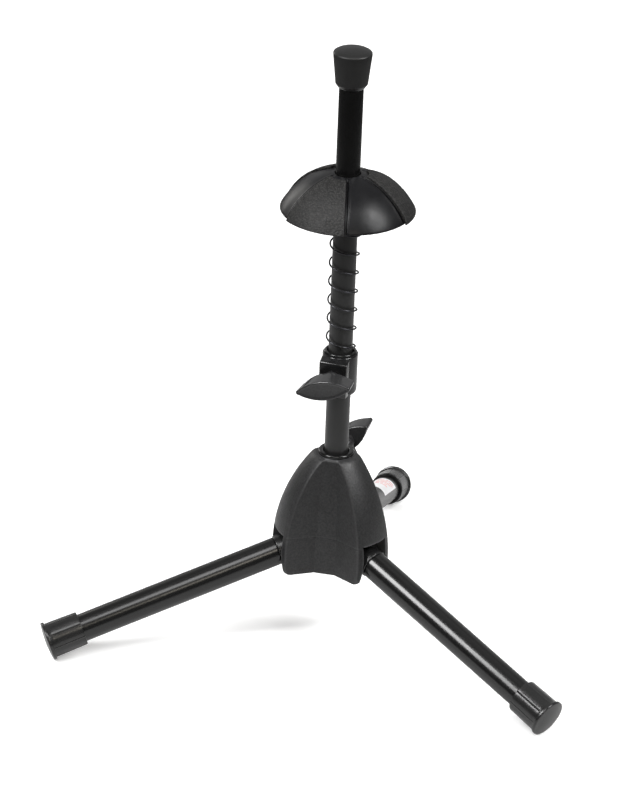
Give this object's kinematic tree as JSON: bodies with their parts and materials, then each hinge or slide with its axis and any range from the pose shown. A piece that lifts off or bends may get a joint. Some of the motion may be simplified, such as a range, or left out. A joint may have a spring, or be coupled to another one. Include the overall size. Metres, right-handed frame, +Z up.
{
  "type": "trumpet stand",
  "caption": "Folding tripod stand that holds a trumpet by its bell, on a sprung umbrella-shaped rest that slides on a clamped pole.",
  "frame": {"origin": "on the pole's axis at floor level, under the middle of the tripod", "axes": "+Z up along the pole, +Y along the rear leg, +X towards the right-hand leg's side"},
  "size_m": [0.3568, 0.3118, 0.4224],
  "materials": {
    "hub_plastic": "fine moulded texture, satin-matte",
    "bush_plastic": "glossy",
    "insert_plastic": "smooth moulded",
    "knob_plastic": "satin",
    "collar_plastic": "satin",
    "leg_paint": "gloss black powder coat",
    "pole_paint": "satin black powder coat",
    "foot_rubber": "smooth, semi-gloss",
    "cap_rubber": "soft matte",
    "grip_rubber": "fine leather-like grain, matte",
    "dome_plastic": "smooth satin",
    "spring_steel": "dark oiled wire",
    "pin_steel": "zinc plated",
    "brass": "machined",
    "nylon": "natural",
    "label_film": "printed white film"
  },
  "bodies": {
    "hub": {"hub_shell": "hub_plastic", "hub_bush": "bush_plastic", "hub_nut": "brass", "leg_pin_1": "pin_steel", "leg_pin_2": "pin_steel", "leg_pin_3": "pin_steel"},
    "leg_1": {"leg_tube_1": "leg_paint", "leg_insert_1": "insert_plastic", "foot_cap_1": "foot_rubber"},
    "leg_2": {"leg_tube_2": "leg_paint", "leg_insert_2": "insert_plastic", "foot_cap_2": "foot_rubber"},
    "leg_3": {"leg_tube_3": "leg_paint", "leg_insert_3": "insert_plastic", "foot_cap_3": "foot_rubber", "leg_label": "label_film"},
    "pole": {"pole_tube": "pole_paint", "pole_plug": "insert_plastic", "top_cap": "cap_rubber"},
    "collar": {"collar_body": "collar_plastic", "collar_nut": "brass", "spring": "spring_steel"},
    "bell_rest": {"dome_shell": "dome_plastic", "dome_bush": "insert_plastic", "grip_pad_1": "grip_rubber", "grip_pad_2": "grip_rubber", "grip_pad_3": "grip_rubber"},
    "hub_clamp_pad": {"hub_pad": "nylon"},
    "hub_clamp_screw": {"hub_stud": "pin_steel", "hub_knob": "knob_plastic"},
    "collar_clamp_pad": {"collar_pad": "nylon"},
    "collar_clamp_screw": {"collar_stud": "pin_steel", "collar_knob": "knob_plastic"}
  },
  "joints": [
    {"name": "leg_1_fold", "type": "hinge", "parent": "hub", "child": "leg_1", "pos_m": [0.02165, -0.0125, 0.06797], "axis": [0.5, 0.866, 0], "range_deg": [0, 72]},
    {"name": "leg_2_fold", "type": "hinge", "parent": "hub", "child": "leg_2", "pos_m": [-0.02165, -0.0125, 0.06797], "axis": [0.5, -0.866, 0], "range_deg": [0, 72]},
    {"name": "leg_3_fold", "type": "hinge", "parent": "hub", "child": "leg_3", "pos_m": [0, 0.025, 0.06797], "axis": [-1, 0, 0], "range_deg": [0, 72]},
    {"name": "pole_slide", "type": "slide", "parent": "hub", "child": "pole", "axis": [0, 0, 1], "range_m": [-0.02, 0.06]},
    {"name": "collar_slide", "type": "slide", "parent": "pole", "child": "collar", "axis": [0, 0, 1], "range_m": [-0.02, 0.03]},
    {"name": "bell_rest_slide", "type": "slide", "parent": "collar", "child": "bell_rest", "axis": [0, 0, 1], "range_m": [-0.055, 0], "stiffness_N_per_m": 300, "springref_m": 0.002, "deforming": ["spring"]},
    {"name": "hub_pad_slide", "type": "slide", "parent": "hub", "child": "hub_clamp_pad", "axis": [0, 1, 0], "range_m": [0, 0.002]},
    {"name": "hub_screw_spin", "type": "hinge", "parent": "hub_clamp_pad", "child": "hub_clamp_screw", "pos_m": [0, 0.03, 0.127], "axis": [0, 1, 0], "range_deg": [0, 720]},
    {"name": "collar_pad_slide", "type": "slide", "parent": "collar", "child": "collar_clamp_pad", "axis": [-0.0785, -0.9969, 0], "range_m": [0, 0.002]},
    {"name": "collar_screw_spin", "type": "hinge", "parent": "collar_clamp_pad", "child": "collar_clamp_screw", "pos_m": [-0.00157, -0.01994, 0.1955], "axis": [-0.0785, -0.9969, 0], "range_deg": [0, 720]}
  ],
  "couplings": [
    {"joint": "hub_screw_spin", "follows": "hub_pad_slide", "rad_per_m": 6283.2},
    {"joint": "collar_screw_spin", "follows": "collar_pad_slide", "rad_per_m": 6283.2}
  ]
}
